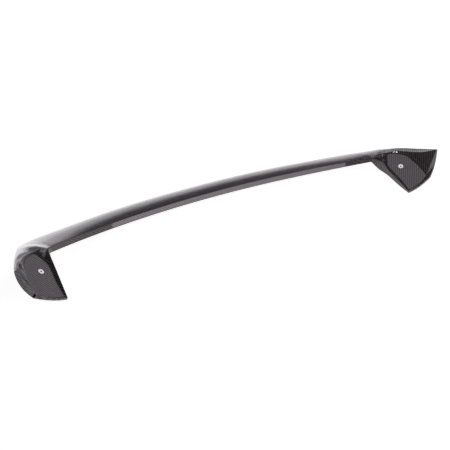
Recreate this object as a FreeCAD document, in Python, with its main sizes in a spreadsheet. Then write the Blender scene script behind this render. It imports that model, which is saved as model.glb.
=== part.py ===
"""Carbon-fibre rear wing for a hatchback: a bowed hollow bar with a mounting pod at each end.

Frame: +Z up, X along the span, +Y towards the trailing edge, origin under the middle of the
wing's box. The wing lies on its back, as on a bench: its mounting faces look up and forwards,
and it rests on both foot tips and on the belly of the bar. Millimetres. The pod at +X is
worked out, and the one at -X mirrors it.
"""
import FreeCAD, Part
import Sketcher
import math
import os
from FreeCAD import Placement, Rotation, Vector

doc = FreeCAD.newDocument("hatch_wing")
sheet = doc.addObject("Spreadsheet::Sheet", "Sizes")

SIZES = [
    # overall: bow in plan and crown in height of the bar's crease
    ("half_width", 625.0, "centre line to the outermost corner of a foot"),
    ("seam_half", 490.0, "centre line to the seam between bar and pod, at the crease"),
    ("crease_mid_y", 248.5, "crease of the bar at mid span, behind the foot tips"),
    ("crease_mid_z", 33.5, "crease of the bar at mid span, above the bench"),
    ("bow_gentle", 61.0, "sweep of the crease from mid span to bow_reach, square term"),
    ("bow_steep", 41.0, "sweep of the crease from mid span to bow_reach, fourth-power term"),
    ("crown_gentle", 6.0, "rise of the crease from mid span to bow_reach, square term"),
    ("crown_steep", 25.0, "rise of the crease from mid span to bow_reach, fourth-power term"),
    ("bow_reach", 500.0, "span position at which bow and crown are given"),
    # section of the bar
    ("chord_mid", 100.5, "crease to trailing edge at mid span"),
    ("chord_half", 103.0, "crease to trailing edge at half of the way to the seam"),
    ("chord_shoulder", 113.0, "crease to trailing edge where the rear corner begins"),
    ("chord_turn", 120.0, "crease to trailing edge in the rear corner"),
    ("chord_seam", 106.0, "crease to trailing edge at the seam"),
    ("drop_mid", 24.5, "trailing edge below the crease at mid span"),
    ("drop_half", 26.0, "trailing edge below the crease at half of the way to the seam"),
    ("drop_shoulder", 33.0, "trailing edge below the crease where the rear corner begins"),
    ("drop_turn", 37.0, "trailing edge below the crease in the rear corner"),
    ("drop_seam", 31.5, "trailing edge below the crease at the seam"),
    ("face_lean", 5.6, "front face: lower corner ahead of the crease"),
    ("face_height", 13.6, "front face: lower corner below the crease"),
    ("belly_bulge", 8.5, "upper surface above the straight chord"),
    ("back_bulge", 8.0, "lower surface of the bar below its straight chord"),
    ("pod_bulge", 20.0, "lower surface of the pod below its straight chord"),
    ("edge_thick", 4.4, "thickness of the glued trailing edge"),
    ("edge_out", 5.0, "rear edge of the pod, outward bulge"),
    ("edge_rise", 4.5, "rear edge of the pod, upward bulge"),
    # laminate and glue
    ("skin", 1.8, "laminate thickness"),
    ("glue_gap", 0.3, "clearance between glued pieces"),
    ("core_gap", 0.4, "clearance between skins and foam"),
    ("land", 13.0, "width of the glued land along the trailing edge"),
    # foot frame and plan
    ("tip_inset", 108.4, "foot tip inboard of the outermost corner"),
    ("tip_lift", 6.6, "rim of the foot tip above the bench"),
    ("foot_roll", 22.2, "mounting face turned inboard, degrees"),
    ("foot_pitch", 21.0, "mounting face turned forwards, degrees"),
    ("floor_across", 81.0, "width of the mounting face along its front edge"),
    ("floor_deep", 137.0, "depth of the mounting face, front edge to top edge"),
    ("ridge_tip", 2.5, "height of the inner ridge at the tip, above the mounting face"),
    ("ridge_top", 15.0, "height of the inner ridge at the top, above the mounting face"),
    ("lip_height", 3.0, "height of the top lip above the mounting face"),
    ("wing_across", 57.0, "outer corner of the foot beyond floor_across"),
    ("wing_deep", 35.0, "outer corner of the foot behind the front edge"),
    ("wing_height", 43.0, "outer corner of the foot above the mounting face"),
    # fixing
    ("hole_across", 45.0, "insert from the foot tip, across the mounting face"),
    ("hole_deep", 80.0, "insert from the foot tip, along the mounting face"),
    ("thread_bore", 5.0, "tapping diameter of the M6 insert"),
    ("insert_body", 9.0, "barrel diameter of the insert"),
    ("insert_flange", 14.0, "flange diameter of the insert"),
    ("insert_long", 10.0, "barrel length of the insert under the mounting face"),
    ("flange_thick", 1.0, "flange thickness of the insert"),
    ("barrel_gap", 0.15, "clearance round the insert's barrel"),
    ("plate_side", 34.0, "side of the backing plate"),
    ("plate_thick", 2.0, "thickness of the backing plate"),
    ("plate_corner", 6.0, "corner radius of the backing plate"),
    # joint between bar and pod
    ("spigot_reach", 32.0, "reach of the joining spigot on each side of the seam"),
    ("spigot_wide", 34.0, "width of the joining spigot"),
    ("spigot_high", 11.0, "height of the joining spigot"),
    ("spigot_wall", 2.0, "wall of the joining spigot"),
]
for row, (alias, value, meaning) in enumerate(SIZES, start=1):
    sheet.set("A%d" % row, alias)
    sheet.set("B%d" % row, str(value))
    sheet.set("C%d" % row, meaning)
    sheet.setAlias("B%d" % row, alias)
doc.recompute()


def size(alias):
    """The number in the sheet's cell of this name."""
    return float(getattr(sheet, alias))


def blend(start, end, share):
    return start + (end - start) * share


SKIN = size("skin")
GLUE = size("glue_gap")
SEAM = size("seam_half")
UP = Vector(0, 0, 1)
SHARES = (0.25, 0.5, 0.75)


# ---------------------------------------------------------------- guides of the bar
def smooth(points, marks):
    """Curve through `points`, reached at the parameter values `marks`."""
    curve = Part.BSplineCurve()
    curve.interpolate(Points=points, Parameters=[float(mark) for mark in marks])
    return curve


CHORD_STOPS = (0.5, 0.8, 0.92, 1.0)
CHORD_NAMES = ("half", "shoulder", "turn", "seam")
half_profile = [
    Vector(stop, size("chord_" + name), size("drop_" + name))
    for stop, name in zip(CHORD_STOPS, CHORD_NAMES)
]
chord_points = (
    [Vector(-point.x, point.y, point.z) for point in half_profile[::-1]]
    + [Vector(0, size("chord_mid"), size("drop_mid"))]
    + half_profile
)
chord_curve = smooth(chord_points, [point.x for point in chord_points])


def crease(x):
    """The bar's crease: an even fourth-power bow in plan and crown in height."""
    share = x / size("bow_reach")
    y = size("crease_mid_y") - size("bow_gentle") * share**2 - size("bow_steep") * share**4
    z = size("crease_mid_z") + size("crown_gentle") * share**2 + size("crown_steep") * share**4
    return Vector(x, y, z)


def rearward(x):
    """Level unit vector square to the crease in plan, pointing to the trailing edge."""
    step = crease(x + 1.0) - crease(x - 1.0)
    return Vector(-step.y, step.x, 0).normalize()


def trailing_edge(x):
    chord_and_drop = chord_curve.value(x / SEAM)
    return crease(x) + rearward(x) * chord_and_drop.y - UP * chord_and_drop.z


def front_corner(x):
    return crease(x) - rearward(x) * size("face_lean") - UP * size("face_height")


# ---------------------------------------------------------------- guides of the pod
roll = math.radians(size("foot_roll"))
pitch = math.radians(size("foot_pitch"))
FOOT_TIP = Vector(size("half_width") - size("tip_inset"), 0, size("tip_lift"))
ACROSS = Vector(math.cos(roll), 0, math.sin(roll))
upright = Vector(-math.sin(roll), 0, math.cos(roll))
FACE_OUT = upright * math.cos(pitch) - Vector(0, 1, 0) * math.sin(pitch)
ALONG = FACE_OUT.cross(ACROSS)


def foot(across, deep, height):
    """Point in the foot's frame: shares of the mounting face's two sides, height in mm."""
    face = ACROSS * (across * size("floor_across")) + ALONG * (deep * size("floor_deep"))
    return FOOT_TIP + face + FACE_OUT * height


outermost = (
    FOOT_TIP
    + ACROSS * (size("floor_across") + size("wing_across"))
    + ALONG * size("wing_deep")
    + FACE_OUT * size("wing_height")
)
seam_crease = crease(SEAM)
seam_corner = front_corner(SEAM)
seam_edge = trailing_edge(SEAM)
lip = size("lip_height")
ridge_top = size("ridge_top")
ridge_tip = size("ridge_tip")
flank = foot(1.40, 0.50, 0.42 * size("wing_height"))

# Seven fan stations from the seam (0) to the outermost corner (6); station 4 is the foot tip.
# A second point at station 0.5 carries the bar's front face smoothly on into the foot.
TIP_STATION = 4
LAST_STATION = 6
MARKS = (0, 0.5, 1, 2, 3, 4, 5, 6)
TIP_MARK = MARKS.index(TIP_STATION)


def past_seam(lead, share, depth):
    """Point on the bar's front face, carried on beyond the seam and sunk by `depth`."""
    x = SEAM + lead
    return blend(front_corner(x), crease(x), share) + rearward(x) * depth


RIM = [
    seam_crease,
    past_seam(12.0, 1.0, 0.0),
    foot(0.28, 1.08, 0.9 * ridge_top),
    foot(0.52, 1.04, lip + 1.0),
    foot(0.85, 0.94, lip),
    foot(1.16, 0.74, lip + 2.0),
    flank,
    blend(outermost, flank, 0.05),
]
WALL_FOOT = [
    seam_corner,
    past_seam(8.0, 0.0, 0.0),
    foot(-0.03, 0.95, -10.0),
    foot(0.0, 0.66, -8.0),
    foot(-0.01, 0.32, -6.5),
    foot(0.0, 0.0, -4.5),
    foot(0.5, -0.035, -5.0),
    foot(1.03, -0.01, -5.0),
]
RIDGE = [
    blend(seam_corner, seam_crease, 0.80),
    past_seam(8.5, 0.78, 0.3),
    foot(0.138, 0.94, 0.65 * ridge_top),
    foot(0.10, 0.70, 0.52 * ridge_top),
    foot(0.06, 0.36, 0.40 * ridge_top),
    foot(0.0, 0.01, ridge_tip),
    foot(0.5, -0.03, ridge_tip),
    foot(1.0, 0.0, ridge_tip),
]
FLOOR_START = [
    blend(seam_corner, seam_crease, 0.87),
    past_seam(10.0, 0.82, 1.2),
    foot(0.265, 0.96, 2.5),
    foot(0.235, 0.78, 0.0),
    foot(0.17, 0.42, 0.0),
    foot(0.07, 0.05, 0.0),
    foot(0.5, 0.01, 0.0),
    foot(0.93, 0.06, 0.0),
]
FLOOR_END = [
    blend(seam_corner, seam_crease, 0.93),
    past_seam(11.0, 0.90, 1.2),
    foot(0.31, 1.04, 5.0),
    foot(0.56, 1.00, 0.0),
    foot(0.82, 0.90, 0.0),
    foot(1.03, 0.72, 0.0),
    foot(1.05, 0.42, 0.0),
    foot(0.97, 0.09, 0.0),
]


def rear_guide(station):
    """Rear edge of the pod: nearly straight, with an even outward and upward bulge."""
    share = station / LAST_STATION
    arch = 4.0 * share * (1.0 - share)
    bulge = Vector(size("edge_out"), 0, size("edge_rise")) * arch
    return blend(seam_edge, outermost, share) + bulge


def guided(points, station):
    """A guide with a corner at the foot tip: one smooth curve before it and one after."""
    if station <= TIP_STATION:
        return smooth(points[: TIP_MARK + 1], MARKS[: TIP_MARK + 1]).value(station)
    return smooth(points[TIP_MARK:], MARKS[TIP_MARK:]).value(station)


def on_face(point):
    """The point moved square onto the flat of the mounting face."""
    return point - FACE_OUT * FACE_OUT.dot(point - FOOT_TIP)


def pod_guides(station):
    """Corner points of the pod's section at one fan station."""
    floor_start = guided(FLOOR_START, station)
    floor_end = guided(FLOOR_END, station)
    if station >= 2.0:
        floor_start, floor_end = on_face(floor_start), on_face(floor_end)
    return {
        "wall": guided(WALL_FOOT, station),
        "ridge": guided(RIDGE, station),
        "floor_start": floor_start,
        "floor_end": floor_end,
        "rim": smooth(RIM, MARKS).value(station),
        "edge": rear_guide(station),
    }


# ---------------------------------------------------------------- profiles and solids
def bow(start, end, share, bulge):
    """Point on the chord from start to end, pushed out by a parabola with its top `bulge`."""
    return blend(start, end, share) + bulge * (4.0 * share * (1.0 - share))


def arc_run(start, end, bulge):
    return [start] + [bow(start, end, share, bulge) for share in SHARES] + [end]


def edge_through(points):
    if len(points) == 2:
        return Part.makeLine(points[0], points[1])
    curve = Part.BSplineCurve()
    curve.interpolate(Points=points)
    return curve.toShape()


def closed_wire(*runs):
    """A closed wire of smooth runs; each run starts where the run before it ends."""
    return Part.Wire([edge_through(run) for run in runs])


def skin_profile(outer, shift):
    """Thin closed profile between a run and its copy moved by `shift`."""
    inner = [point + shift for point in outer]
    return closed_wire(outer, [outer[-1], inner[-1]], inner[::-1], [inner[0], outer[0]])


def loft(wires):
    return Part.makeLoft(wires, True, False)


def spaced(first, last, count):
    return [blend(first, last, i / (count - 1.0)) for i in range(count)]


def patch(a, b, c, d):
    """Four-sided face over the corners a, b, c, d, taken in turn round its outline."""
    surface = Part.BSplineSurface()
    ends = (2, 2)
    span = (0, 1)
    surface.buildFromPolesMultsKnots([[a, b], [d, c]], ends, ends, span, span, False, False, 1, 1)
    return surface.toShape()


def closed_solid(faces):
    skin = Part.makeCompound(faces)
    skin.sewShape()
    solid = Part.makeSolid(skin.Shells[0])
    return solid if solid.Volume > 0 else Part.makeSolid(skin.Shells[0].reversed())


def end_cap(ring):
    """Faces across an end ring, from each point to the one facing it on the other run."""
    faces = []
    first, last = 0, len(ring) - 1
    while last - first > 2:
        faces.append(patch(ring[first], ring[first + 1], ring[last - 1], ring[last]))
        first, last = first + 1, last - 1
    if last - first == 2:
        corner = ring[first]
        faces.append(Part.Face(Part.makePolygon(ring[first : last + 1] + [corner])))
    return faces


def ring_solid(rings):
    """Solid through rings of points, closed at both ends."""
    faces = end_cap(rings[0]) + end_cap(rings[-1])
    sides = len(rings[0])
    for ring, following in zip(rings[:-1], rings[1:]):
        for i in range(sides):
            j = (i + 1) % sides
            faces.append(patch(ring[i], ring[j], following[j], following[i]))
    return closed_solid(faces)


def bar_positions(reach):
    """Section positions along the bar, closer together towards its ends."""
    shares = [math.sin(math.pi / 2 * i / 8.0) for i in range(-8, 9)]
    return [reach * share for share in shares]


def upper_start(crease_point, edge_point):
    """Where the skin behind the crease begins: clear of the laminate that wraps the crease."""
    back = (edge_point - crease_point).normalize()
    return crease_point + back * (SKIN + GLUE)


def bar_underside_profile(x):
    """Laminate from behind the crease to the trailing edge, on the side that looks up here."""
    start = upper_start(crease(x), trailing_edge(x))
    outer = arc_run(start, trailing_edge(x), UP * size("belly_bulge"))
    return skin_profile(outer, UP * -SKIN)


def bar_top_profile(x):
    """Front face and lower surface in one laminate."""
    back = rearward(x)
    top = crease(x)
    corner = front_corner(x)
    low_edge = trailing_edge(x) - UP * size("edge_thick")
    outer = arc_run(corner, low_edge, UP * -size("back_bulge"))
    inner_corner = corner + back * (1.33 * SKIN) + UP * (0.6 * SKIN)
    inner = arc_run(inner_corner, low_edge + UP * SKIN, UP * -size("back_bulge"))
    inner_top = top + back * SKIN
    return closed_wire(
        [top, corner],
        outer,
        [outer[-1], inner[-1]],
        inner[::-1],
        [inner[0], inner_top],
        [inner_top, top],
    )


def core_run(start, end, bulge, first, last, shift):
    """Four points of a surface between two shares of its run, moved inwards by `shift`."""
    return [bow(start, end, share, bulge) + shift for share in spaced(first, last, 4)]


def bar_core_profile(x):
    gap = SKIN + size("core_gap")
    edge = trailing_edge(x)
    length = (edge - crease(x)).Length
    last = 1.0 - size("land") / length
    upper = core_run(
        upper_start(crease(x), edge), edge, UP * size("belly_bulge"), 0.05, last, UP * -gap
    )
    lower = core_run(
        front_corner(x),
        edge - UP * size("edge_thick"),
        UP * -size("back_bulge"),
        0.07,
        last,
        UP * (1.25 * gap),
    )
    return closed_wire(lower, [lower[-1], upper[-1]], upper[::-1], [upper[0], lower[0]])


def edge_under(station):
    """Direction from show face to glue line at the pod's rear edge: down, then outboard."""
    share = (station / LAST_STATION) ** 2
    return blend(UP * -1.0, (ACROSS * 0.6 - FACE_OUT * 0.8).normalize(), share).normalize()


def pod_low_chord(station):
    at = pod_guides(station)
    low_edge = at["edge"] + edge_under(station) * size("edge_thick")
    start = at["wall"] + (low_edge - at["wall"]).normalize() * (1.7 * SKIN + GLUE)
    share = station / LAST_STATION
    depth = blend(size("back_bulge"), size("pod_bulge"), min(1.0, 2.0 * share))
    return start, low_edge, edge_under(station) * (depth * (1.0 - 0.6 * share**8))


def pod_underside_profile(station):
    at = pod_guides(station)
    fade = 1.0 - (station / LAST_STATION) ** 2
    outer = arc_run(
        upper_start(at["rim"], at["edge"]), at["edge"], UP * (size("belly_bulge") * fade)
    )
    return skin_profile(outer, UP * -SKIN)


def pod_outer_profile(station):
    start, low_edge, bulge = pod_low_chord(station)
    return skin_profile(arc_run(start, low_edge, bulge), edge_under(station) * -SKIN)


def dish_corners(station, inset):
    """Corners of the mounting dish and its side wall, `inset` inside the show face."""
    at = pod_guides(station)
    below = FACE_OUT * -1.0
    back = (at["edge"] - at["rim"]).normalize()
    inward = (at["edge"] - at["wall"]).normalize()
    floorward = (at["floor_end"] - at["ridge"]).normalize()
    share = min(1.0, station)
    directions = {
        "wall": (inward + below * 0.2).normalize(),
        "ridge": below + floorward,
        "floor_start": below,
        "floor_end": below,
        "rim": (back + below).normalize(),
    }
    return [
        at[name] + blend(rearward(SEAM), direction, share) * inset
        for name, direction in directions.items()
    ]


def dish_ring(station):
    return dish_corners(station, 0.0) + dish_corners(station, SKIN)[::-1]


def pod_core_ring(station):
    """Section of the pod's foam: behind the dish, above the outer skin, ahead of the land."""
    at = pod_guides(station)
    gap = SKIN + size("core_gap")
    under = edge_under(station)
    front = dish_corners(station, 1.4 * gap)
    back = (at["edge"] - at["rim"]).normalize()
    start, low_edge, bulge = pod_low_chord(station)
    last = 1.0 - 1.4 * size("land") / (low_edge - start).Length
    low = [bow(start, low_edge, share, bulge) - under * (1.3 * gap) for share in (0.06, 0.5, last)]
    width = (at["edge"] - at["rim"]).Length
    edge = at["edge"] - back * min(1.4 * size("land"), 0.5 * width)
    return [
        low[0],
        front[2],
        front[3],
        front[4] + back * min(1.5 * gap, 0.15 * width) - UP * (0.5 * gap),
        edge - UP * (1.1 * gap),
        low[2],
        low[1],
    ]


def glued_run(start, end, bulge, shift):
    """Two points on the inner face of a skin, 1 mm and most of the land ahead of its edge."""
    length = (end - start).Length
    return [
        bow(start, end, 1.0 - ahead / length, bulge) + shift for ahead in (1.0, 0.6 * size("land"))
    ]


def bar_bond_ring(x):
    """Glue wedge between the two skins along the land at the trailing edge."""
    edge = trailing_edge(x)
    low_edge = edge - UP * size("edge_thick")
    inset = UP * (SKIN + 0.05)
    upper = glued_run(upper_start(crease(x), edge), edge, UP * size("belly_bulge"), inset * -1.0)
    lower = glued_run(front_corner(x), low_edge, UP * -size("back_bulge"), inset)
    return upper + lower[::-1]


def pod_bond_ring(station):
    at = pod_guides(station)
    fade = 1.0 - (station / LAST_STATION) ** 2
    inset = SKIN + 0.15
    start = upper_start(at["rim"], at["edge"])
    upper = glued_run(start, at["edge"], UP * (size("belly_bulge") * fade), UP * -inset)
    lower = glued_run(*pod_low_chord(station), edge_under(station) * -inset)
    return upper + lower[::-1]


def two_part_loft(profile, first, last):
    """Loft over fan stations, with a crease in line with the foot tip."""
    before = loft([profile(station) for station in spaced(first, TIP_STATION, 9)])
    after = loft([profile(station) for station in spaced(TIP_STATION, last, 5)])
    return before.fuse(after)


# ---------------------------------------------------------------- where things sit
MIRROR = Vector(1, 0, 0)
insert_spot = FOOT_TIP + ACROSS * size("hole_across") + ALONG * size("hole_deep")
seam_outboard = (crease(SEAM + 1.0) - crease(SEAM - 1.0)).normalize()
seam_back = (seam_edge - seam_crease).normalize()
seam_over = seam_outboard.cross(seam_back).normalize()
seam_middle = blend(
    bow(seam_crease, seam_edge, 0.42, UP * size("belly_bulge")),
    bow(seam_corner, seam_edge - UP * size("edge_thick"), 0.42, UP * -size("back_bulge")),
    0.5,
)


def mirrored(vector):
    return Vector(-vector.x, vector.y, vector.z)


def side_name(side):
    return "right" if side > 0 else "left"


def placed(spot, x_axis, y_axis, side):
    """Placement at `spot`; on the left both spot and axes are mirrored and x is turned back."""
    if side < 0:
        spot, x_axis, y_axis = mirrored(spot), mirrored(x_axis) * -1.0, mirrored(y_axis)
    z_axis = x_axis.cross(y_axis)
    return Placement(spot, Rotation(x_axis, y_axis, z_axis, "ZXY"))


# ---------------------------------------------------------------- sub-parts
subparts = []


def add_shape(label, shape):
    feature = doc.addObject("Part::Feature", label)
    feature.Label = label
    feature.Shape = shape
    subparts.append(feature)
    return feature


def new_body(label):
    body = doc.addObject("PartDesign::Body", label)
    body.Label = label
    subparts.append(body)
    return body


def plane_of(body, role):
    return next(item for item in body.Origin.OriginFeatures if item.Role == role)


def add_sketch(body, name, role):
    sketch = body.newObject("Sketcher::SketchObject", name)
    sketch.AttachmentSupport = (plane_of(body, role), [""])
    sketch.MapMode = "FlatFace"
    return sketch


def rectangle_sketch(body, name, role, width, height):
    """A centred rectangle whose two dimensions follow sheet expressions."""
    sketch = add_sketch(body, name, role)
    corners = [Vector(-1, -1, 0), Vector(1, -1, 0), Vector(1, 1, 0), Vector(-1, 1, 0)]
    for i in range(4):
        sketch.addGeometry(Part.LineSegment(corners[i] * 10, corners[(i + 1) % 4] * 10), False)
    for i in range(4):
        sketch.addConstraint(Sketcher.Constraint("Coincident", i, 2, (i + 1) % 4, 1))
    for i in (0, 2):
        sketch.addConstraint(Sketcher.Constraint("Horizontal", i))
        sketch.addConstraint(Sketcher.Constraint("Vertical", i + 1))
    sketch.addConstraint(Sketcher.Constraint("Symmetric", 0, 1, 1, 2, -1, 1))
    sketch.addConstraint(Sketcher.Constraint("DistanceX", 0, 1, 0, 2, 20.0))
    sketch.setExpression("Constraints[%d]" % (sketch.ConstraintCount - 1), width)
    sketch.addConstraint(Sketcher.Constraint("DistanceY", 1, 1, 1, 2, 20.0))
    sketch.setExpression("Constraints[%d]" % (sketch.ConstraintCount - 1), height)
    return sketch


def circle_sketch(body, name, role, radius):
    sketch = add_sketch(body, name, role)
    sketch.addGeometry(Part.Circle(Vector(), UP, 5.0), False)
    sketch.addConstraint(Sketcher.Constraint("Coincident", 0, 3, -1, 1))
    sketch.addConstraint(Sketcher.Constraint("Radius", 0, 5.0))
    sketch.setExpression("Constraints[1]", radius)
    return sketch


def pad(body, name, sketch, length, reversed_pad=False):
    feature = body.newObject("PartDesign::Pad", name)
    feature.Profile = sketch
    feature.setExpression("Length", length)
    feature.Reversed = reversed_pad
    return feature


def pocket_through(body, name, sketch):
    feature = body.newObject("PartDesign::Pocket", name)
    feature.Profile = sketch
    feature.Type = 1
    feature.Midplane = True
    return feature


def add_insert(side):
    """Flanged M6 insert: flange proud of the mounting face, barrel down through the plate."""
    body = new_body("threaded_insert_" + side_name(side))
    disc = circle_sketch(body, "FlangeOutline", "XY_Plane", "Sizes.insert_flange / 2")
    pad(body, "Flange", disc, "Sizes.flange_thick")
    barrel = circle_sketch(body, "BarrelOutline", "XY_Plane", "Sizes.insert_body / 2")
    pad(body, "Barrel", barrel, "Sizes.insert_long", True)
    bore = circle_sketch(body, "BoreOutline", "XY_Plane", "Sizes.thread_bore / 2")
    pocket_through(body, "Bore", bore)
    body.Placement = placed(insert_spot, ACROSS, ALONG, side)
    return body


def add_plate(side):
    """Rounded backing plate glued behind the mounting face, bored for the insert's barrel."""
    body = new_body("backing_plate_" + side_name(side))
    outline = rectangle_sketch(
        body, "Outline", "XY_Plane", "Sizes.plate_side", "Sizes.plate_side"
    )
    slab = pad(body, "Slab", outline, "Sizes.plate_thick", True)
    doc.recompute()
    rounded = body.newObject("PartDesign::Fillet", "Corners")
    upright_edges = [
        "Edge%d" % (i + 1)
        for i, edge in enumerate(slab.Shape.Edges)
        if abs(edge.tangentAt(edge.FirstParameter).z) > 0.9
    ]
    rounded.Base = (slab, upright_edges)
    rounded.setExpression("Radius", "Sizes.plate_corner")
    hole = circle_sketch(
        body, "HoleOutline", "XY_Plane", "Sizes.insert_body / 2 + Sizes.barrel_gap"
    )
    pocket_through(body, "Hole", hole)
    depth = SKIN + GLUE
    body.Placement = placed(insert_spot - FACE_OUT * depth, ACROSS, ALONG, side)
    return body


def add_spigot(side):
    """Hollow box section bridging the seam inside bar and pod."""
    body = new_body("joining_spigot_" + side_name(side))
    outline = rectangle_sketch(
        body, "Outline", "XY_Plane", "Sizes.spigot_wide", "Sizes.spigot_high"
    )
    bar = pad(body, "Length", outline, "2 * Sizes.spigot_reach")
    bar.Midplane = True
    hollow = rectangle_sketch(
        body,
        "Hollow",
        "XY_Plane",
        "Sizes.spigot_wide - 2 * Sizes.spigot_wall",
        "Sizes.spigot_high - 2 * Sizes.spigot_wall",
    )
    pocket_through(body, "Bore", hollow)
    body.Placement = placed(seam_middle, seam_back, seam_over, side)
    return body


def add_both_sides(name, shape):
    add_shape(name + "_right", shape)
    add_shape(name + "_left", shape.mirror(Vector(), MIRROR))


core_reach = SEAM - size("spigot_reach") - 6.0
add_shape("bar_underside_skin", loft([bar_underside_profile(x) for x in bar_positions(SEAM)]))
add_shape("bar_top_skin", loft([bar_top_profile(x) for x in bar_positions(SEAM)]))
add_shape("bar_foam_core", loft([bar_core_profile(x) for x in bar_positions(core_reach)]))
add_shape("bar_edge_bond", ring_solid([bar_bond_ring(x) for x in bar_positions(SEAM - 4.0)]))

barrel_room = size("insert_body") / 2 + size("barrel_gap")
barrel_hole = Part.makeCylinder(
    barrel_room,
    size("insert_long") + 20.0 + GLUE,
    insert_spot + FACE_OUT * 20.0,
    FACE_OUT * -1.0,
)
plate_room = size("plate_side") + 2.0 * GLUE
plate_pocket = Part.makeBox(plate_room, plate_room, 20.0)
plate_pocket.translate(Vector(-plate_room / 2, -plate_room / 2, 0))
plate_depth = SKIN + size("plate_thick") + 2.0 * GLUE
plate_pocket.Placement = (
    placed(insert_spot - FACE_OUT * plate_depth, ACROSS, ALONG, 1) * plate_pocket.Placement
)

dish_stations = [0.0] + spaced(0.5, 4.0, 15) + spaced(4.25, 6.0, 8)
dish = ring_solid([dish_ring(s) for s in dish_stations])
add_both_sides("foot_dish", dish.cut(barrel_hole).Solids[0])
add_both_sides("pod_underside_skin", two_part_loft(pod_underside_profile, 0.0, 5.6))
add_both_sides("pod_outer_skin", two_part_loft(pod_outer_profile, 0.0, 5.9))
core = ring_solid([pod_core_ring(s) for s in spaced(1.5, 3.75, 10)])
add_both_sides("pod_foam_core", core.cut(plate_pocket).cut(barrel_hole).Solids[0])
pod_bond = ring_solid([pod_bond_ring(s) for s in spaced(0.15, 3.9, 9)])
add_both_sides("pod_edge_bond", pod_bond)
for side in (1, -1):
    add_insert(side)
    add_plate(side)
    add_spigot(side)
doc.recompute()

# origin under the middle of the whole wing's box
whole = Part.makeCompound([part.Shape for part in subparts]).optimalBoundingBox(False)
to_origin = Placement(
    Vector(-(whole.XMin + whole.XMax) / 2, -(whole.YMin + whole.YMax) / 2, -whole.ZMin), Rotation()
)
for part in subparts:
    part.Placement = to_origin * part.Placement
doc.recompute()

os.makedirs("parts", exist_ok=True)
for part in subparts:
    shape = part.Shape
    faulty = "Invalid" in part.State or "Error" in part.State
    if faulty or shape.isNull() or not shape.isValid() or len(shape.Solids) != 1:
        raise RuntimeError("%s did not come out as one valid solid" % part.Label)
for part in subparts:
    part.Shape.exportStep("parts/%s.step" % part.Label)
    print(part.Label, round(part.Shape.Volume), "mm3")
print("moved by", to_origin.Base)
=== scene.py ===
"""Looks of the carbon rear wing, laid out as an add-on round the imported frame.

Lengths are metres in the frame's own axes: X along the span, +Y to the trailing edge, +Z up as
the wing lies on its back. The pod at +X is worked out, and the one at -X mirrors it.
"""

import math

import bpy
import numpy as np
from bpy.props import FloatProperty, FloatVectorProperty, IntProperty, PointerProperty
from mathutils import Matrix, Vector


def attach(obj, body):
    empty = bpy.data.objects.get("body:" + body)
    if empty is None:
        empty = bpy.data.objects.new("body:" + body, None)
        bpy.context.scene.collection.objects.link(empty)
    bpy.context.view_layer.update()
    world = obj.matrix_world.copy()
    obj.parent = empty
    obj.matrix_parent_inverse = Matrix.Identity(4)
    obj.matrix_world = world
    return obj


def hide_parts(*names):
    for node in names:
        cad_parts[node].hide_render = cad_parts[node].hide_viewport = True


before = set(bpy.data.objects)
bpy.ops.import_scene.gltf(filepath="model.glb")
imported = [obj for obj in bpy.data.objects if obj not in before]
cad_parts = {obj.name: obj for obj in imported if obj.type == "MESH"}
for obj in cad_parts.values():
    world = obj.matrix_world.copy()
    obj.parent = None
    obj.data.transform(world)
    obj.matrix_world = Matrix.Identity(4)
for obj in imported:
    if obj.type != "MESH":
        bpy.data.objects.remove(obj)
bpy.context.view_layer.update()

bl_info = {
    "name": "Carbon rear wing",
    "version": (1, 0, 0),
    "blender": (4, 5, 0),
    "location": "3D View > Sidebar > Rear wing",
    "description": "Builds a bowed carbon rear wing with its feet, inserts and studio",
    "category": "Add Mesh",
}

UP = np.array([0.0, 0.0, 1.0])
# from a point midway between the foot tips, at bench height, to the frame's origin
ORIGIN = np.array([0.0, -0.1721335, -0.0024221])
EYE = ORIGIN + np.array([-1.158, -1.715, 1.1735])
TIP_STATION = 4.0
LAST_STATION = 6.0
MARKS = np.array([0.0, 0.5, 1.0, 2.0, 3.0, 4.0, 5.0, 6.0])
TIP_MARK = 5
# The second carbon carries painted sheen and a painted seam highlight.
DARK_CARBON, PAINTED_SHEEN_CARBON = "Clear-coated carbon twill", "Clear-coated carbon, painted sheen"
FLOOR_HALF = 30.0
FLOOR_DROP = 0.0002
HORIZON_TOP, CEILING_START = 0.16, 0.36
# place, aim, sides, power and spread in degrees of each softbox
SOFTBOXES = {
    "Overhead softbox": ((0.62, 0.02, 2.0), (0.0, 0.0, -1.0), (0.40, 0.40), 0.7, 180),
    "Front softbox": ((0.9, -2.6, 0.75), (-0.35, 0.93, -0.1), (2.4, 0.8), 16.0, 180),
    "Side softbox": ((1.2, 0.75, 1.35), (-0.73, -0.35, -0.58), (0.9, 0.7), 2.2, 180),
    "Crease strip": ((-1.05, -1.75, 2.1), (0.68, 0.62, -0.5), (1.5, 0.03), 2.0, 60),
}


# ---------------------------------------------------------------- what a user would change
def length(name, text, value):
    return FloatProperty(name=name, description=text, default=value, unit="LENGTH", precision=5)


def angle(name, text, degrees):
    return FloatProperty(
        name=name, description=text, default=math.radians(degrees), subtype="ANGLE"
    )


def number(name, text, value):
    return FloatProperty(name=name, description=text, default=value)


def colour(name, text, value):
    return FloatVectorProperty(
        name=name, description=text, default=value, subtype="COLOR", size=3, min=0.0, max=1.0
    )


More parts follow.
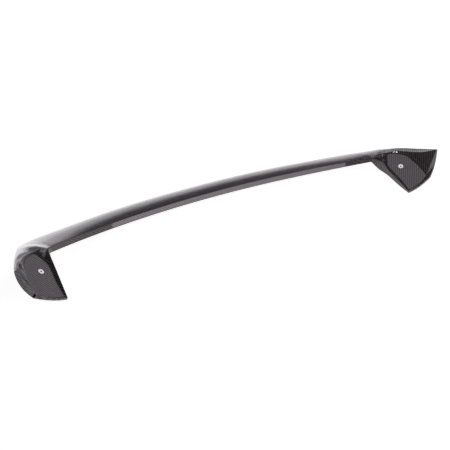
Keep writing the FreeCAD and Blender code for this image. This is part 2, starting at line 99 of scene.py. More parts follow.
class WingBarSizes(bpy.types.PropertyGroup):
    """Sizes of the bar."""

    seam_half: length("Seam half", "Centre line to the seam between bar and pod", 0.490)
    seam_line: length("Seam line", "Centre line to the seam's visible line", 0.500)
    crease_mid_y: length("Crease depth", "Crease at mid span, behind the foot tips", 0.2485)
    crease_mid_z: length("Crease height", "Crease at mid span, above the bench", 0.0335)
    bow_gentle: length("Bow, square", "Sweep of the crease, square term", 0.061)
    bow_steep: length("Bow, fourth", "Sweep of the crease, fourth-power term", 0.041)
    crown_gentle: length("Crown, square", "Rise of the crease, square term", 0.006)
    crown_steep: length("Crown, fourth", "Rise of the crease, fourth-power term", 0.025)
    bow_reach: length("Bow reach", "Span position at which bow and crown are given", 0.500)
    chord_mid: length("Chord, middle", "Crease to trailing edge at mid span", 0.1005)
    chord_half: length("Chord, half way", "The same at half of the way to the seam", 0.103)
    chord_shoulder: length("Chord, shoulder", "The same at 80% of the way", 0.113)
    chord_turn: length("Chord, turn", "The same at 92% of the way", 0.120)
    chord_seam: length("Chord, seam", "The same at the seam", 0.106)
    drop_mid: length("Drop, middle", "Trailing edge below the crease at mid span", 0.0245)
    drop_half: length("Drop, half way", "The same at half of the way to the seam", 0.026)
    drop_shoulder: length("Drop, shoulder", "The same at 80% of the way", 0.033)
    drop_turn: length("Drop, turn", "The same at 92% of the way", 0.037)
    drop_seam: length("Drop, seam", "The same at the seam", 0.0315)
    face_lean: length("Face lean", "Front face's foot ahead of the crease", 0.0056)
    face_height: length("Face height", "Height of the front face", 0.0136)
    belly_bulge: length("Belly bulge", "Bulge of the side that looks up", 0.0085)
    back_bulge: length("Back bulge", "Bulge of the side that looks down", 0.008)
    edge_thick: length("Edge thickness", "Thickness of the trailing edge", 0.0044)


class WingPodSizes(bpy.types.PropertyGroup):
    """Sizes of a pod and its foot."""

    half_width: length("Half width", "Centre line to the outermost corner", 0.625)
    tip_inset: length("Tip inset", "Foot tip inside the outermost corner", 0.1084)
    tip_lift: length("Tip lift", "Foot tip above the bench", 0.0066)
    foot_roll: angle("Foot roll", "Slope of the mounting face across", 22.2)
    foot_pitch: angle("Foot pitch", "Slope of the mounting face along", 21.0)
    floor_across: length("Face across", "Width of the mounting face", 0.081)
    floor_deep: length("Face deep", "Depth of the mounting face", 0.137)
    ridge_tip: length("Ridge at tip", "Ridge above the face at the tip", 0.0025)
    ridge_top: length("Ridge at top", "Ridge above the face at the top", 0.015)
    lip_height: length("Lip", "Top lip above the mounting face", 0.003)
    wing_across: length("Ear across", "Outer corner beyond the face, across", 0.057)
    wing_deep: length("Ear deep", "Outer corner behind the front edge", 0.035)
    wing_height: length("Ear height", "Outer corner above the face", 0.043)
    pod_bulge: length("Pod bulge", "Bulge of the pod's outer skin", 0.020)
    edge_out: length("Edge out", "Outward bulge of the rear edge", 0.005)
    edge_rise: length("Edge rise", "Upward bulge of the rear edge", 0.0045)


class WingFinish(bpy.types.PropertyGroup):
    """Colours and textures."""

    tow: length("Tow width", "Width of one tow of the twill", 0.0021)
    warp: colour("Warp", "Colour of the tows along the span", (0.066, 0.056, 0.060))
    weft: colour("Weft", "Colour of the tows across the span", (0.004, 0.004, 0.005))
    # Painted glints: gold-brown specks in the tows' colour, standing in for light caught by the
    # fibres.
    painted_glint: colour("Painted glint", "Colour of stray glints", (0.20, 0.15, 0.09))
    # Painted sheen: light grey tows where the pods' upward skin reflects the softbox.
    painted_sheen_warp: colour("Pod belly painted sheen, warp", "Tows along, beyond the seam", (0.42, 0.41, 0.44))
    painted_sheen_weft: colour("Pod belly painted sheen, weft", "Tows across, beyond the seam", (0.29, 0.29, 0.31))
    # Painted highlight: a light line along the seam, and its half width.
    seam: colour("Seam", "Colour of the seam's line", (0.70, 0.70, 0.72))
    seam_highlight_width: length("Seam highlight width", "Half width of the seam's line", 0.0007)
    foam: colour("Foam", "Colour of the foam core", (0.78, 0.70, 0.48))
    paste: colour("Paste", "Colour of the bonding paste", (0.16, 0.17, 0.18))
    steel: colour("Steel", "Colour of the inserts", (0.80, 0.80, 0.81))
    aluminium: colour("Aluminium", "Colour of the plates", (0.72, 0.73, 0.74))


class WingStudio(bpy.types.PropertyGroup):
    """Stage, light and camera."""

    floor: colour("Floor", "Colour of the floor", (0.90, 0.90, 0.90))
    sky: number("Surround", "Brightness of the surround near the horizon", 1.0)
    tint: colour("Surround tint", "Colour of the surround", (1.0, 0.93, 0.98))
    ceiling: number("Ceiling", "Brightness of the surround overhead", 0.10)
    glow: number("Floor glow", "Light that the floor gives off by itself", 0.85)
    lamps: number("Lamps", "Strength of the softboxes, relative", 1.0)
    lens: FloatProperty(
        name="Lens", description="Focal length on a 36 mm sensor", default=74.4, unit="CAMERA"
    )
    steps: IntProperty(name="Steps", description="Steps along the bar", default=240, min=24)


# ---------------------------------------------------------------- curves and sections
def unit(vectors):
    return vectors / np.maximum(np.linalg.norm(vectors, axis=-1, keepdims=True), 1e-12)


def spline(marks, points, at):
    """Smooth cubic through `points` at `marks`, whose end slopes are those of parabolas."""
    marks, points, at = (np.asarray(item, float) for item in (marks, points, at))
    gap = np.diff(marks)
    slope = np.diff(points, axis=0) / gap[:, None]
    matrix = np.eye(len(marks))
    right = np.zeros_like(points)
    right[0] = slope[0] + (slope[0] - slope[1]) * gap[0] / (gap[0] + gap[1])
    right[-1] = slope[-1] + (slope[-1] - slope[-2]) * gap[-1] / (gap[-1] + gap[-2])
    inner = np.arange(1, len(marks) - 1)
    matrix[inner, inner - 1] = 1 / gap[:-1]
    matrix[inner, inner] = 2 / gap[:-1] + 2 / gap[1:]
    matrix[inner, inner + 1] = 1 / gap[1:]
    right[1:-1] = 3 * (slope[:-1] / gap[:-1, None] + slope[1:] / gap[1:, None])
    tangent = np.linalg.solve(matrix, right)
    k = np.clip(np.searchsorted(marks, at, side="right") - 1, 0, len(gap) - 1)
    t = ((at - marks[k]) / gap[k])[:, None]
    h = gap[k][:, None]
    return (
        (1 + 2 * t) * (1 - t) ** 2 * points[k]
        + t * (1 - t) ** 2 * h * tangent[k]
        + t**2 * (3 - 2 * t) * points[k + 1]
        + t**2 * (t - 1) * h * tangent[k + 1]
    )


def rounded_section(corners, radii, bulges, run_steps, arc_steps):
    """Closed sections from corner points, one per row of `corners` (rows, corners, 3).

    Run i goes from corner i to the next one on P(s) = straight + 4 s (1 - s) bulge. At each
    corner a quadratic curve, with the corner as its middle control point, joins the places on
    the two runs that are `radius` away. Returns the points and, for each column, its run.
    """
    count = corners.shape[1]
    following = np.roll(corners, -1, axis=1)
    span = np.linalg.norm(following - corners, axis=2)

    def on_run(i, share):
        share = share[..., None]
        straight = corners[:, None, i] * (1 - share) + following[:, None, i] * share
        return straight + 4 * share * (1 - share) * bulges[:, None, i]

    columns, runs = [], []
    before = np.roll(span, 1, axis=1)
    reach = np.minimum(np.minimum(radii, 0.42 * span), 0.42 * before)
    for i in range(count):
        j = (i + 1) % count
        start = 1 - (reach[:, i] / before[:, i])[:, None]
        finish = (reach[:, i] / span[:, i])[:, None]
        t = np.linspace(0, 1, arc_steps + 1)[None, :, None]
        arrive, leave, middle = on_run(i - 1, start), on_run(i, finish), corners[:, None, i]
        columns.append((1 - t) ** 2 * arrive + 2 * t * (1 - t) * middle + t**2 * leave)
        runs += [(i - 1) % count] * (arc_steps // 2) + [i] * (arc_steps - arc_steps // 2 + 1)
        last = 1 - (reach[:, j] / span[:, i])[:, None]
        steps = np.linspace(0, 1, run_steps[i] + 1)[None, 1:-1]
        columns.append(on_run(i, finish + (last - finish) * steps))
        runs += [i] * (run_steps[i] - 1)
    return np.concatenate(columns, axis=1), np.array(runs)


def shell_mesh(name, rings, charts, flip_x=False):
    """Closed mesh through rings (rows, columns, 3), with a cap on the first and the last."""
    rows, columns = rings.shape[:2]
    points = rings.reshape(-1, 3) * (np.array([-1, 1, 1]) if flip_x else 1)
    row, column = np.meshgrid(np.arange(rows - 1), np.arange(columns), indexing="ij")
    beside = (column + 1) % columns
    quads = np.stack(
        [
            row * columns + column,
            row * columns + beside,
            (row + 1) * columns + beside,
            (row + 1) * columns + column,
        ],
        axis=-1,
    ).reshape(-1, 4)
    uv = charts.reshape(-1, 4, 2)
    caps = np.stack([np.arange(columns)[::-1], (rows - 1) * columns + np.arange(columns)])
    a, b, c, d = (points[quads[:, i]] for i in range(4))
    volume = np.einsum("ij,ij->i", a, np.cross(b, c)) + np.einsum("ij,ij->i", a, np.cross(c, d))
    if volume.sum() < 0:
        quads, uv, caps = quads[:, ::-1], uv[:, ::-1], caps[:, ::-1]
    mesh = bpy.data.meshes.new(name)
    mesh.from_pydata(points.tolist(), [], quads.tolist() + caps.tolist())
    layer = mesh.uv_layers.new(name="weave")
    cap_uv = points[caps.ravel()][:, [0, 2]]
    layer.data.foreach_set("uv", np.concatenate([uv.reshape(-1, 2), cap_uv]).ravel())
    smooth = np.ones(len(mesh.polygons), bool)
    smooth[-2:] = False
    mesh.polygons.foreach_set("use_smooth", smooth)
    mesh.update()
    return mesh


def run_charts(rings, runs, grain):
    """Weave coordinates of each face's corners: each run is laid flat on its mean plane.

    The first coordinate runs along `grain` in that plane and the second square to it.
    """
    rows, columns = rings.shape[:2]
    following = np.roll(rings, -1, axis=1)
    corners = np.stack([rings[:-1], following[:-1], following[1:], rings[1:]], axis=2)
    normal = np.cross(corners[:, :, 2] - corners[:, :, 0], corners[:, :, 3] - corners[:, :, 1])
    charts = np.zeros((rows - 1, columns, 4, 2))
    for run in range(runs.max() + 1):
        chosen = runs == run
        across = unit(normal[:, chosen].sum(axis=(0, 1)))
        along = unit(grain - across * np.dot(grain, across))
        square = np.cross(across, along)
        charts[:, chosen] = corners[:, chosen] @ np.stack([along, square], axis=1)
    return charts


# ---------------------------------------------------------------- shape of the wing
class WingShape:
    """Guides of bar and pod, from the sizes in the panel."""

    def __init__(self, scene):
        self.bar = bar = scene.wing_bar
        self.pod = pod = scene.wing_pod
        stops = np.array([0.5, 0.8, 0.92, 1.0])
        chords = np.array(
            [bar.chord_half, bar.chord_shoulder, bar.chord_turn, bar.chord_seam]
        )
        drops = np.array([bar.drop_half, bar.drop_shoulder, bar.drop_turn, bar.drop_seam])
        pairs = np.stack([chords, drops], axis=1)
        self.chord_marks = np.concatenate([-stops[::-1], [0], stops])
        self.chord_pairs = np.concatenate([pairs[::-1], [[bar.chord_mid, bar.drop_mid]], pairs])
        roll, pitch = pod.foot_roll, pod.foot_pitch
        self.across = np.array([math.cos(roll), 0, math.sin(roll)])
        upright = np.array([-math.sin(roll), 0, math.cos(roll)])
        self.face_out = upright * math.cos(pitch) - np.array([0, math.sin(pitch), 0])
        self.along = np.cross(self.face_out, self.across)
        self.tip = np.array([pod.half_width - pod.tip_inset, 0, pod.tip_lift]) + ORIGIN

    def crease(self, x):
        """Even fourth-power bow in plan and crown in height."""
        share = x / self.bar.bow_reach
        y = self.bar.crease_mid_y - self.bar.bow_gentle * share**2 - self.bar.bow_steep * share**4
        z = (
            self.bar.crease_mid_z
            + self.bar.crown_gentle * share**2
            + self.bar.crown_steep * share**4
        )
        return np.stack([x, y, z], axis=-1) + ORIGIN

    def rearward(self, x):
        step = self.crease(x + 0.001) - self.crease(x - 0.001)
        return unit(np.stack([-step[..., 1], step[..., 0], 0 * x], axis=-1))

    def edge(self, x):
        pair = spline(self.chord_marks, self.chord_pairs, x / self.bar.seam_half)
        return self.crease(x) + self.rearward(x) * pair[:, :1] - UP * pair[:, 1:]

    def front_corner(self, x):
        bar = self.bar
        return self.crease(x) - self.rearward(x) * bar.face_lean - UP * bar.face_height

    def foot(self, across, deep, height):
        face = self.across * (across * self.pod.floor_across)
        return self.tip + face + self.along * (deep * self.pod.floor_deep) + (
            self.face_out * height
        )

    def past_seam(self, lead, share, depth):
        x = np.array([self.bar.seam_half + lead])
        point = self.front_corner(x) * (1 - share) + self.crease(x) * share
        return (point + self.rearward(x) * depth)[0]

    def guides(self):
        """Corner points of the pod's sections at MARKS, from the seam to the outer corner."""
        pod, foot, past = self.pod, self.foot, self.past_seam
        lip, top, tip = pod.lip_height, pod.ridge_top, pod.ridge_tip
        outermost = (
            self.tip
            + self.across * (pod.floor_across + pod.wing_across)
            + self.along * pod.wing_deep
            + self.face_out * pod.wing_height
        )
        flank = foot(1.40, 0.50, 0.42 * pod.wing_height)
        seam = [past(0.0, share, 0.0) for share in (0.0, 0.80, 0.87, 0.93, 1.0)]
        self.outermost = outermost
        return {
            "rim": [
                seam[4], past(0.012, 1.0, 0.0), foot(0.28, 1.08, 0.9 * top),
                foot(0.52, 1.04, lip + 0.001), foot(0.85, 0.94, lip),
                foot(1.16, 0.74, lip + 0.002), flank, outermost * 0.95 + flank * 0.05,
            ],
            "wall": [
                seam[0], past(0.008, 0.0, 0.0), foot(-0.03, 0.95, -0.010),
                foot(0.0, 0.66, -0.008), foot(-0.01, 0.32, -0.0065),
                foot(0.0, 0.0, -0.0045), foot(0.5, -0.035, -0.005), foot(1.03, -0.01, -0.005),
            ],
            "ridge": [
                seam[1], past(0.0085, 0.78, 0.0003), foot(0.138, 0.94, 0.65 * top),
                foot(0.10, 0.70, 0.52 * top), foot(0.06, 0.36, 0.40 * top),
                foot(0.0, 0.01, tip), foot(0.5, -0.03, tip), foot(1.0, 0.0, tip),
            ],
            "floor_start": [
                seam[2], past(0.010, 0.82, 0.0012), foot(0.265, 0.96, 0.0025),
                foot(0.235, 0.78, 0.0), foot(0.17, 0.42, 0.0), foot(0.07, 0.05, 0.0),
                foot(0.5, 0.01, 0.0), foot(0.93, 0.06, 0.0),
            ],
            "floor_end": [
                seam[3], past(0.011, 0.90, 0.0012), foot(0.31, 1.04, 0.005),
                foot(0.56, 1.00, 0.0), foot(0.82, 0.90, 0.0), foot(1.03, 0.72, 0.0),
                foot(1.05, 0.42, 0.0), foot(0.97, 0.09, 0.0),
            ],
        }

    def guided(self, points, station, split=True):
        """Smooth guide; a split one has a corner at the foot tip."""
        points = np.array(points)
        if not split:
            return spline(MARKS, points, station)
        before = spline(MARKS[: TIP_MARK + 1], points[: TIP_MARK + 1], station)
        after = spline(MARKS[TIP_MARK:], points[TIP_MARK:], station)
        return np.where((station <= TIP_STATION)[:, None], before, after)

    def pod_sections(self, station):
        """Rounded sections of the pod at the fan stations given."""
        bar, pod = self.bar, self.pod
        points = self.guides()
        at = {name: self.guided(run, station, name != "rim") for name, run in points.items()}
        flat = (station >= 2.0)[:, None]
        for name in ("floor_start", "floor_end"):
            off = ((at[name] - self.tip) @ self.face_out)[:, None] * self.face_out
            at[name] = np.where(flat, at[name] - off, at[name])
        share = (station / LAST_STATION)[:, None]
        arch = 4 * share * (1 - share)
        seam_edge = self.edge(np.array([bar.seam_half]))[0]
        edge = seam_edge * (1 - share) + self.outermost * share
        edge = edge + np.array([pod.edge_out, 0, pod.edge_rise]) * arch
        slant = unit(self.across * 0.6 - self.face_out * 0.8)
        under = unit(-UP * (1 - share**2) + slant * share**2)
        low_edge = edge + under * bar.edge_thick
        depth = bar.back_bulge + (pod.pod_bulge - bar.back_bulge) * np.minimum(1, 2 * share)
        zero = np.zeros_like(edge)
        names = ("rim", "edge", "low_edge", "wall", "ridge", "floor_start", "floor_end")
        at.update(edge=edge, low_edge=low_edge)
        corners = np.stack([at[name] for name in names], axis=1)
        bulges = np.stack(
            [
                UP * (bar.belly_bulge * (1 - share**2)),
                zero,
                under * depth * (1 - 0.6 * share**8),
                zero,
                zero,
                zero,
                zero,
            ],
            axis=1,
        )
        radii = np.array([0.0016, 0.0021, 0.0021, 0.0018, 0.0020, 0.0040, 0.0045])
        rows = np.tile(radii, (len(station), 1))
        return rounded_section(corners, rows, bulges, (26, 2, 26, 6, 6, 22, 8), 6)

    def bar_sections(self, x):
        """Rounded sections of the bar at the span positions given."""
        bar = self.bar
        edge = self.edge(x)
        corners = np.stack(
            [self.crease(x), edge, edge - UP * bar.edge_thick, self.front_corner(x)], axis=1
        )
        zero = np.zeros_like(edge)
        bulges = np.stack(
            [zero + UP * bar.belly_bulge, zero, zero - UP * bar.back_bulge, zero], axis=1
        )
        rows = np.tile([0.0012, 0.0021, 0.0021, 0.0018], (len(x), 1))
        return rounded_section(corners, rows, bulges, (30, 2, 30, 8), 6)


# ---------------------------------------------------------------- materials
def new_group(name, inputs, outputs):
    """A shader node group with the sockets named, of the types given."""
    group = bpy.data.node_groups.new(name, "ShaderNodeTree")
    for label, kind, default in inputs:
        socket = group.interface.new_socket(name=label, in_out="INPUT", socket_type=kind)
        if default is not None:
            socket.default_value = default
    for label, kind in outputs:
        group.interface.new_socket(name=label, in_out="OUTPUT", socket_type=kind)
    enter = group.nodes.new("NodeGroupInput")
    leave = group.nodes.new("NodeGroupOutput")
    return group, enter, leave


def math_node(tree, operation, *values):
    """A Math node; each value is a number or an output socket."""
    node = tree.nodes.new("ShaderNodeMath")
    node.operation = operation
    for socket, value in zip(node.inputs, values):
        if isinstance(value, (int, float)):
            socket.default_value = value
        else:
            tree.links.new(value, socket)
    return node.outputs[0]


def twill_group():
    """2x2 twill: tow k of the warp passes over two of the weft, one further on each row. A few
    cells, picked at random, carry painted glints.
    """
    group, enter, leave = new_group(
        "Twill weave",
        [("Vector", "NodeSocketVector", None), ("Tow", "NodeSocketFloat", 0.002)],
        [("Warp", "NodeSocketFloat"), ("Height", "NodeSocketFloat"), ("Painted glint", "NodeSocketFloat")],
    )
    split = group.nodes.new("ShaderNodeSeparateXYZ")
    group.links.new(enter.outputs["Vector"], split.inputs[0])
    u = math_node(group, "DIVIDE", split.outputs[0], enter.outputs["Tow"])
    v = math_node(group, "DIVIDE", split.outputs[1], enter.outputs["Tow"])
    column, row = math_node(group, "FLOOR", u), math_node(group, "FLOOR", v)
    part_u, part_v = math_node(group, "FRACT", u), math_node(group, "FRACT", v)
    order = math_node(group, "FLOORED_MODULO", math_node(group, "ADD", column, row), 4.0)
    warp = math_node(group, "LESS_THAN", order, 1.5)

    def crown(share):
        centred = math_node(group, "MULTIPLY_ADD", share, 2.0, -1.0)
        return math_node(group, "SUBTRACT", 1.0, math_node(group, "MULTIPLY", centred, centred))

    warp_float = math_node(
        group, "MULTIPLY", math_node(group, "ADD", order, part_u), 0.5
    )
    weft_float = math_node(
        group,
        "MULTIPLY",
        math_node(group, "ADD", math_node(group, "SUBTRACT", order, 2.0), part_v),
        0.5,
    )
    over_warp = math_node(group, "MULTIPLY", crown(part_v), crown(warp_float))
    over_weft = math_node(group, "MULTIPLY", crown(part_u), crown(weft_float))
    chosen = math_node(
        group,
        "ADD",
        math_node(group, "MULTIPLY", warp, over_warp),
        math_node(
            group, "MULTIPLY", math_node(group, "SUBTRACT", 1.0, warp), over_weft
        ),
    )
    cell = group.nodes.new("ShaderNodeCombineXYZ")
    group.links.new(column, cell.inputs[0])
    group.links.new(row, cell.inputs[1])
    # Cells picked at random for painted glints.
    noise = group.nodes.new("ShaderNodeTexWhiteNoise")
    group.links.new(cell.outputs[0], noise.inputs["Vector"])
    painted_glint = math_node(group, "GREATER_THAN", noise.outputs["Value"], 0.93)
    group.links.new(warp, leave.inputs["Warp"])
    group.links.new(chosen, leave.inputs["Height"])
    group.links.new(painted_glint, leave.inputs["Painted glint"])
    return group


def haze_group():
    """Slow change over the surface, as polishing and dust leave it, between two values."""
    group, enter, leave = new_group(
        "Polish haze",
        [
            ("Vector", "NodeSocketVector", None),
            ("Scale", "NodeSocketFloat", 9.0),
            ("Low", "NodeSocketFloat", 0.03),
            ("High", "NodeSocketFloat", 0.08),
        ],
        [("Value", "NodeSocketFloat"), ("Mask", "NodeSocketFloat")],
    )
    noise = group.nodes.new("ShaderNodeTexNoise")
    noise.inputs["Detail"].default_value = 4.0
    group.links.new(enter.outputs["Vector"], noise.inputs["Vector"])
    group.links.new(enter.outputs["Scale"], noise.inputs["Scale"])
    ramp = group.nodes.new("ShaderNodeMapRange")
    ramp.inputs["From Min"].default_value = 0.35
    ramp.inputs["From Max"].default_value = 0.65
    group.links.new(noise.outputs["Fac"], ramp.inputs["Value"])
    group.links.new(enter.outputs["Low"], ramp.inputs["To Min"])
    group.links.new(enter.outputs["High"], ramp.inputs["To Max"])
    group.links.new(ramp.outputs[0], leave.inputs["Value"])
    group.links.new(noise.outputs["Fac"], leave.inputs["Mask"])
    return group


def seam_group():
    """Mask of what lies beyond the seam, which gets painted sheen, and of a thin band on the seam,
    which gets a painted highlight, from the place along X.
    """
    group, enter, leave = new_group(
        "Seam",
        [
            ("Vector", "NodeSocketVector", None),
            ("Place", "NodeSocketFloat", 0.5),
            ("Width", "NodeSocketFloat", 0.002),
        ],
        [("Beyond", "NodeSocketFloat"), ("Line", "NodeSocketFloat")],
    )
    split = group.nodes.new("ShaderNodeSeparateXYZ")
    group.links.new(enter.outputs["Vector"], split.inputs[0])
    aside = math_node(group, "ABSOLUTE", split.outputs[0])
    past = math_node(group, "SUBTRACT", aside, enter.outputs["Place"])
    beyond = math_node(group, "GREATER_THAN", past, 0.0)
    apart = math_node(group, "ABSOLUTE", past)
    line = math_node(group, "LESS_THAN", apart, enter.outputs["Width"])
    group.links.new(beyond, leave.inputs["Beyond"])
    group.links.new(line, leave.inputs["Line"])
    return group


def shared_group(name, build):
    return bpy.data.node_groups.get(name) or build()


def new_material(name):
    material = bpy.data.materials.new(name)
    material.use_nodes = True
    return material, material.node_tree, material.node_tree.nodes["Principled BSDF"]


def place_group(tree, group, vector, **values):
    node = tree.nodes.new("ShaderNodeGroup")
    node.node_tree = group
    tree.links.new(vector, node.inputs["Vector"])
    for name, value in values.items():
        node.inputs[name.replace("_", " ")].default_value = value
    return node


def mix_colour(tree, share, first, second):
    node = tree.nodes.new("ShaderNodeMix")
    node.data_type = "RGBA"
    for place, value in ((0, share), (6, first), (7, second)):
        socket = node.inputs[place]
        if hasattr(value, "is_output"):
            tree.links.new(value, socket)
        else:
            socket.default_value = (*value, 1.0) if hasattr(value, "__len__") else value
    return node.outputs[2]


def bump(tree, height, distance, strength=1.0):
    node = tree.nodes.new("ShaderNodeBump")
    node.inputs["Distance"].default_value = distance
    node.inputs["Strength"].default_value = strength
    tree.links.new(height, node.inputs["Height"])
    return node.outputs[0]


def carbon_material(scene, name):
    """Twill carbon under a polished clear coat; the other one gets painted sheen, light grey tows
    beyond the seam, and a painted highlight along the seam.
    """
    finish = scene.wing_finish
    material, tree, shader = new_material(name)
    uv = tree.nodes.new("ShaderNodeUVMap")
    uv.uv_map = "weave"
    weave = place_group(
        tree, shared_group("Twill weave", twill_group), uv.outputs[0], Tow=finish.tow
    )
    where = tree.nodes.new("ShaderNodeTexCoord")
    haze = place_group(
        tree,
        shared_group("Polish haze", haze_group),
        where.outputs["Object"],
        Scale=7.0,
        Low=0.30,
        High=0.42,
    )
    warp = weave.outputs["Warp"]
    tows = mix_colour(tree, warp, tuple(finish.weft), tuple(finish.warp))
    # Painted glints: gold-brown specks mixed into the base colour where the haze is high.
    half_haze = math_node(tree, "MULTIPLY", haze.outputs["Mask"], 0.5)
    glint = math_node(tree, "MULTIPLY", weave.outputs["Painted glint"], half_haze)
    tows = mix_colour(tree, glint, tows, tuple(finish.painted_glint))
    if name == PAINTED_SHEEN_CARBON:
        seam = place_group(
            tree,
            shared_group("Seam", seam_group),
            where.outputs["Object"],
            Place=scene.wing_bar.seam_line,
            Width=finish.seam_highlight_width,
        )
        # Painted sheen: light grey tows beyond the seam, where the pods' upward skin reflects the
        # softbox.
        painted_sheen_tows = mix_colour(tree, warp, tuple(finish.painted_sheen_weft), tuple(finish.painted_sheen_warp))
        tows = mix_colour(tree, seam.outputs["Beyond"], tows, painted_sheen_tows)
        # Painted highlight: a light line along the seam.
        tows = mix_colour(tree, seam.outputs["Line"], tows, tuple(finish.seam))
    tree.links.new(tows, shader.inputs["Base Color"])
    tree.links.new(haze.outputs["Value"], shader.inputs["Roughness"])
    tree.links.new(bump(tree, weave.outputs["Height"], 0.00025), shader.inputs["Normal"])
    shader.inputs["Metallic"].default_value = 0.35
    shader.inputs["Specular IOR Level"].default_value = 0.25
    shader.inputs["Coat Weight"].default_value = 1.0
    shader.inputs["Coat Roughness"].default_value = 0.03
    shader.inputs["Coat IOR"].default_value = 1.5
    return material


def both_carbons(scene):
    """The dark laminate, and the one with painted sheen beyond the seam and a painted highlight on
    it.
    """
    return [
        bpy.data.materials.get(name) or carbon_material(scene, name)
        for name in (DARK_CARBON, PAINTED_SHEEN_CARBON)
    ]


def grained_material(name, base, dark, scale, rough, metallic=0.0, bump_depth=0.0002):
    """Material whose colour and roughness follow the shared haze, with a fine grain."""
    material, tree, shader = new_material(name)
    where = tree.nodes.new("ShaderNodeTexCoord")
    haze = place_group(
        tree,
        shared_group("Polish haze", haze_group),
        where.outputs["Object"],
        Scale=scale,
        Low=rough[0],
        High=rough[1],
    )
    tree.links.new(
        mix_colour(tree, haze.outputs["Mask"], dark, base), shader.inputs["Base Color"]
    )
    tree.links.new(haze.outputs["Value"], shader.inputs["Roughness"])
    tree.links.new(bump(tree, haze.outputs["Mask"], bump_depth), shader.inputs["Normal"])
    shader.inputs["Metallic"].default_value = metallic
    return material


def dress(node, material):
    """Gives a CAD node the material in all its slots."""
    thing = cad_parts[node]
    thing.data.materials.clear()
    thing.data.materials.append(material)


def add_piece(name, mesh, materials, belly, nodes, bevel=0.0):
    """Adds a finished piece that rides on the wing; `belly` marks its faces that take the carbon
    with painted sheen.
    """
    piece = bpy.data.objects.new(name, mesh)
    bpy.context.scene.collection.objects.link(piece)
    for material in materials:
        mesh.materials.append(material)
    slots = np.zeros(len(mesh.polygons), dtype=np.int32)
    slots[: belly.size] = belly.ravel()
    mesh.polygons.foreach_set("material_index", slots)
    if bevel:
        modifier = piece.modifiers.new("Rounded ends", "BEVEL")
        modifier.width = bevel
        modifier.segments = 2
        modifier.limit_method = "ANGLE"
        modifier.angle_limit = math.radians(50)
    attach(piece, "root")
    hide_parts(*nodes)
    return piece


# ---------------------------------------------------------------- operators
class WING_OT_bar(bpy.types.Operator):
    """Bar: sections carried along the bowed crease, one closed shell."""

    bl_idname = "wing.bar"
    bl_label = "Bar"

    def execute(self, context):
        scene = context.scene
        shape = WingShape(scene)
        reach = scene.wing_bar.seam_half - 0.00015
        turn = np.linspace(-1, 1, scene.wing_studio.steps + 1)
        x = reach * np.sin(np.pi / 2 * turn)
        rings, runs = shape.bar_sections(x)
        along = np.concatenate(
            [[0], np.cumsum(np.linalg.norm(np.diff(shape.crease(x), axis=0), axis=1))]
        )
        along -= along[-1] / 2
        closed = np.concatenate([rings, rings[:, :1]], axis=1)
        round_it = np.cumsum(np.linalg.norm(np.diff(closed, axis=1), axis=2), axis=1)
        round_it = np.concatenate([0 * round_it[:, :1], round_it], axis=1)
        u = np.repeat(along[:, None], round_it.shape[1], axis=1)
        grid = np.stack([u, round_it], axis=2)
        charts = np.stack([grid[:-1, :-1], grid[:-1, 1:], grid[1:, 1:], grid[1:, :-1]], axis=2)
        mesh = shell_mesh("wing_bar", rings, charts)
        belly = np.tile(runs == 0, (len(x) - 1, 1))
        nodes = ("bar_underside_skin", "bar_top_skin")
        add_piece("wing_bar", mesh, both_carbons(scene), belly, nodes)
        return {"FINISHED"}


class WING_OT_pods(bpy.types.Operator):
    """Pods: sections fanned out from the seam round the foot, one closed shell a side."""

    bl_idname = "wing.pods"
    bl_label = "Pods"

    def execute(self, context):
        scene = context.scene
        shape = WingShape(scene)
        station = np.concatenate(
            [[0.02], np.linspace(0.5, TIP_STATION, 90)[:-1], np.linspace(TIP_STATION, 6.0, 60)]
        )
        start = shape.pod_sections(np.array([0.0]))[0]
        rings, runs = shape.pod_sections(station)
        rings[0] = start[0]
        charts = run_charts(rings, runs, shape.across)
        for side, flip in (("right", False), ("left", True)):
            mesh = shell_mesh("wing_pod_" + side, rings, charts, flip)
            parts = ("foot_dish", "pod_underside_skin", "pod_outer_skin")
            nodes = ["%s_%s" % (part, side) for part in parts]
            belly = np.tile(runs == 0, (len(station) - 1, 1))
            add_piece("wing_pod_" + side, mesh, both_carbons(scene), belly, nodes, bevel=0.0008)
        return {"FINISHED"}


class WING_OT_inner_parts(bpy.types.Operator):
    """Finishes of the inserts, plates, spigots, cores and bonds."""

    bl_idname = "wing.inner_parts"
    bl_label = "Inserts and inner parts"

    def execute(self, context):
        finish = context.scene.wing_finish
        steel = grained_material(
            "Turned steel", tuple(finish.steel), (0.6, 0.6, 0.61), 400.0, (0.16, 0.26), 1.0, 2e-5
        )
        plate = grained_material(
            "Abraded aluminium", tuple(finish.aluminium), (0.5, 0.5, 0.51), 300.0, (0.3, 0.5), 1.0
        )
        foam = grained_material(
            "Foam", tuple(finish.foam), (0.6, 0.52, 0.33), 500.0, (0.8, 0.95), 0.0, 5e-4
        )
        paste = grained_material(
            "Bonding paste", tuple(finish.paste), (0.1, 0.1, 0.11), 90.0, (0.4, 0.6)
        )
        laminate = grained_material(
            "Peel-ply laminate", (0.06, 0.06, 0.065), (0.02, 0.02, 0.022), 700.0, (0.5, 0.7)
        )
        dress("bar_foam_core", foam)
        dress("bar_edge_bond", paste)
        for side in ("right", "left"):
            dress("pod_foam_core_" + side, foam)
            dress("pod_edge_bond_" + side, paste)
            dress("threaded_insert_" + side, steel)
            dress("backing_plate_" + side, plate)
            dress("joining_spigot_" + side, laminate)
        return {"FINISHED"}


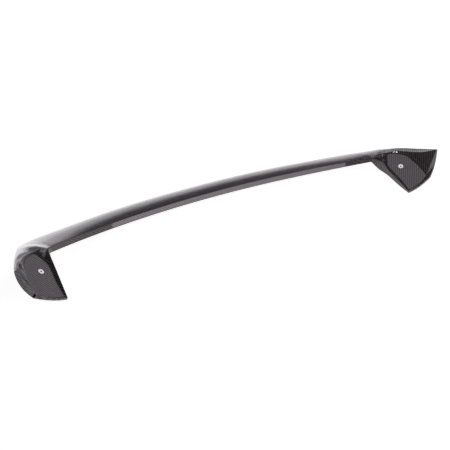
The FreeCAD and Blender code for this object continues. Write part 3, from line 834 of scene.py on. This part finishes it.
class WING_OT_stage(bpy.types.Operator):
    """Pale floor, soft light and camera."""

    bl_idname = "wing.stage"
    bl_label = "Stage"

    def execute(self, context):
        scene = context.scene
        studio = scene.wing_studio
        self.floor(scene, studio)
        self.surround(scene, studio)
        self.lights(scene, studio)
        self.camera(scene, studio)
        scene.view_settings.view_transform = "Standard"
        return {"FINISHED"}

    def floor(self, scene, studio):
        material, tree, shader = new_material("Pale floor")
        where = tree.nodes.new("ShaderNodeTexCoord")
        haze = place_group(
            tree,
            shared_group("Polish haze", haze_group),
            where.outputs["Object"],
            Scale=2.0,
            Low=0.7,
            High=0.8,
        )
        tree.links.new(haze.outputs["Value"], shader.inputs["Roughness"])
        shader.inputs["Base Color"].default_value = (*studio.floor, 1.0)
        shader.inputs["Specular IOR Level"].default_value = 0.1
        shader.inputs["Emission Color"].default_value = (1.0, 1.0, 1.0, 1.0)
        shader.inputs["Emission Strength"].default_value = studio.glow
        mesh = bpy.data.meshes.new("floor")
        square = ((-1, -1), (1, -1), (1, 1), (-1, 1))
        corners = [(x * FLOOR_HALF, y * FLOOR_HALF, 0) for x, y in square]
        mesh.from_pydata(corners, [], [(0, 1, 2, 3)])
        mesh.materials.append(material)
        floor = bpy.data.objects.new("floor", mesh)
        scene.collection.objects.link(floor)
        floor.location.z = -FLOOR_DROP

    def surround(self, scene, studio):
        """Pale near the horizon, dark overhead."""
        world = bpy.data.worlds.new("Studio")
        scene.world = world
        world.use_nodes = True
        tree = world.node_tree
        where = tree.nodes.new("ShaderNodeTexCoord")
        split = tree.nodes.new("ShaderNodeSeparateXYZ")
        tree.links.new(where.outputs["Generated"], split.inputs[0])
        ramp = tree.nodes.new("ShaderNodeValToRGB")
        low, high = ramp.color_ramp.elements
        low.position, high.position = HORIZON_TOP, CEILING_START
        low.color = (*studio.tint, 1)
        high.color = (*(studio.ceiling * part for part in studio.tint), 1)
        tree.links.new(split.outputs[2], ramp.inputs[0])
        back = tree.nodes["Background"]
        tree.links.new(ramp.outputs[0], back.inputs["Color"])
        back.inputs["Strength"].default_value = studio.sky

    def lights(self, scene, studio):
        """Softboxes overhead, low in front, and beyond the bar to the right, with a thin strip."""
        for name, (place, aim, sides, power, spread) in SOFTBOXES.items():
            lamp = bpy.data.lights.new(name, "AREA")
            lamp.shape = "RECTANGLE"
            lamp.size, lamp.size_y = sides
            lamp.energy = power * studio.lamps
            lamp.spread = math.radians(spread)
            lamp.color = studio.tint
            light = bpy.data.objects.new(name, lamp)
            light.location = place
            light.rotation_euler = Vector(aim).to_track_quat("-Z", "Y").to_euler()
            scene.collection.objects.link(light)

    def camera(self, scene, studio):
        camera = bpy.data.cameras.new("Camera")
        camera.sensor_width = 36.0
        camera.lens = studio.lens
        view = bpy.data.objects.new("Camera", camera)
        right, up, back = (0.8492, -0.528, 0.0), (0.252, 0.4052, 0.8788), (-0.464, -0.7463, 0.4772)
        turn = Matrix((right, up, back)).transposed().to_4x4()
        view.matrix_world = Matrix.Translation(EYE.tolist()) @ turn
        scene.collection.objects.link(view)
        scene.camera = view


class WING_PT_panel(bpy.types.Panel):
    """Sizes, finishes and makers of the rear wing."""

    bl_label = "Rear wing"
    bl_idname = "WING_PT_panel"
    bl_space_type = "VIEW_3D"
    bl_region_type = "UI"
    bl_category = "Rear wing"

    def draw(self, context):
        layout = self.layout
        for operator in OPERATORS:
            layout.operator(operator.bl_idname)
        for name in GROUPS:
            box = layout.box()
            group = getattr(context.scene, name)
            for prop in group.bl_rna.properties:
                if prop.identifier not in ("rna_type", "name"):
                    box.prop(group, prop.identifier)


GROUPS = {
    "wing_bar": WingBarSizes,
    "wing_pod": WingPodSizes,
    "wing_finish": WingFinish,
    "wing_studio": WingStudio,
}
OPERATORS = (WING_OT_bar, WING_OT_pods, WING_OT_inner_parts, WING_OT_stage)
CLASSES = (*GROUPS.values(), *OPERATORS, WING_PT_panel)


def register():
    for item in CLASSES:
        bpy.utils.register_class(item)
    for name, group in GROUPS.items():
        setattr(bpy.types.Scene, name, PointerProperty(type=group))


def unregister():
    for name in GROUPS:
        delattr(bpy.types.Scene, name)
    for item in reversed(CLASSES):
        bpy.utils.unregister_class(item)


def main():
    register()
    bpy.ops.wing.bar()
    bpy.ops.wing.pods()
    bpy.ops.wing.inner_parts()
    bpy.ops.wing.stage()


if __name__ == "__main__":
    main()
